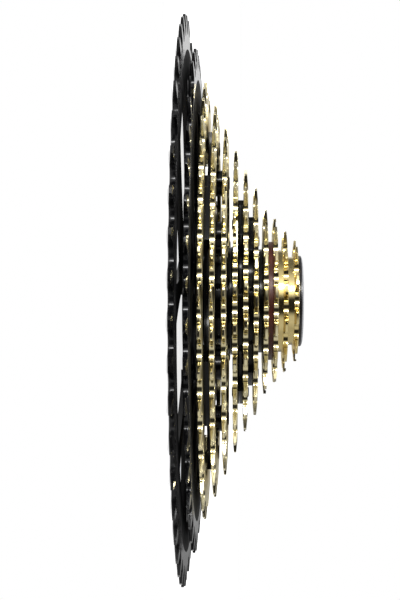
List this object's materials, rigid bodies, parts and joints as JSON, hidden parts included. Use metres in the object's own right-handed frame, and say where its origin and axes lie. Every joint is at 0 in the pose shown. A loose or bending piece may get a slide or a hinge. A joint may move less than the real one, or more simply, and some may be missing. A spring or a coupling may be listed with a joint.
{
  "type": "bicycle cassette",
  "caption": "Wide-range bicycle cassette: stepped toothed sprockets on lobed carriers, with spacers and a screwed lockring, sliding on a splined hub bore.",
  "frame": {"origin": "on the axis, in the plane of the back face of the largest sprocket", "axes": "+Z along the axis from the largest sprocket to the lockring; +X along one lobe of the middle carrier"},
  "size_m": [0.2128, 0.2128, 0.0444],
  "materials": {
    "black_aluminium": "satin black anodised",
    "gold_steel": "bright pale gold coating",
    "red_aluminium": "dark red anodised",
    "rivet_steel": "satin",
    "washer_steel": "bright",
    "lockring_aluminium": "dark anodised"
  },
  "bodies": {
    "large_cluster": {"sprocket_51t": "black_aluminium", "sprocket_45t": "black_aluminium", "large_carrier": "black_aluminium", "large_rivets": "rivet_steel"},
    "middle_cluster": {"sprocket_39t": "gold_steel", "sprocket_35t": "gold_steel", "sprocket_31t": "gold_steel", "middle_carrier": "black_aluminium", "middle_outer_rivets": "rivet_steel", "middle_inner_rivets": "rivet_steel"},
    "cluster_spacer": {"cluster_spacer": "black_aluminium"},
    "small_cluster": {"sprocket_27t": "gold_steel", "sprocket_23t": "gold_steel", "sprocket_20t": "gold_steel", "small_carrier": "black_aluminium", "small_outer_rivets": "rivet_steel", "small_inner_rivets": "rivet_steel"},
    "black_spacer": {"black_spacer": "black_aluminium"},
    "sprocket_16t": {"sprocket_16t": "gold_steel"},
    "red_spacer": {"red_spacer": "red_aluminium"},
    "sprocket_14t": {"sprocket_14t": "gold_steel"},
    "sprocket_12t": {"sprocket_12t": "gold_steel"},
    "sprocket_10t": {"sprocket_10t": "gold_steel"},
    "lock_washer": {"lock_washer": "washer_steel"},
    "lockring": {"lockring": "lockring_aluminium"}
  },
  "joints": [
    {"name": "middle_cluster_slide", "type": "slide", "parent": "large_cluster", "child": "middle_cluster", "axis": [0, 0, 1], "range_m": [0, 0.0309]},
    {"name": "cluster_spacer_slide", "type": "slide", "parent": "middle_cluster", "child": "cluster_spacer", "axis": [0, 0, 1], "range_m": [0, 0.0218]},
    {"name": "small_cluster_slide", "type": "slide", "parent": "cluster_spacer", "child": "small_cluster", "axis": [0, 0, 1], "range_m": [0, 0.0198]},
    {"name": "black_spacer_slide", "type": "slide", "parent": "small_cluster", "child": "black_spacer", "axis": [0, 0, 1], "range_m": [0, 0.0107]},
    {"name": "sprocket_16t_slide", "type": "slide", "parent": "black_spacer", "child": "sprocket_16t", "axis": [0, 0, 1], "range_m": [0, 0.0087]},
    {"name": "red_spacer_slide", "type": "slide", "parent": "sprocket_16t", "child": "red_spacer", "axis": [0, 0, 1], "range_m": [0, 0.007]},
    {"name": "sprocket_14t_slide", "type": "slide", "parent": "red_spacer", "child": "sprocket_14t", "axis": [0, 0, 1], "range_m": [0, 0.005]},
    {"name": "sprocket_12t_slide", "type": "slide", "parent": "sprocket_14t", "child": "sprocket_12t", "axis": [0, 0, 1], "range_m": [0, 0.0033]},
    {"name": "sprocket_10t_slide", "type": "slide", "parent": "sprocket_12t", "child": "sprocket_10t", "axis": [0, 0, 1], "range_m": [0, 0.003]},
    {"name": "lockring_lift", "type": "slide", "parent": "sprocket_10t", "child": "lock_washer", "axis": [0, 0, 1], "range_m": [0, 0.006]},
    {"name": "lockring_turn", "type": "hinge", "parent": "lock_washer", "child": "lockring", "pos_m": [0, 0, 0.04315], "axis": [0, 0, 1], "range_deg": [0, 2160]}
  ],
  "couplings": [
    {"joint": "lockring_lift", "follows": "lockring_turn", "m_per_rad": 0.00015915}
  ]
}
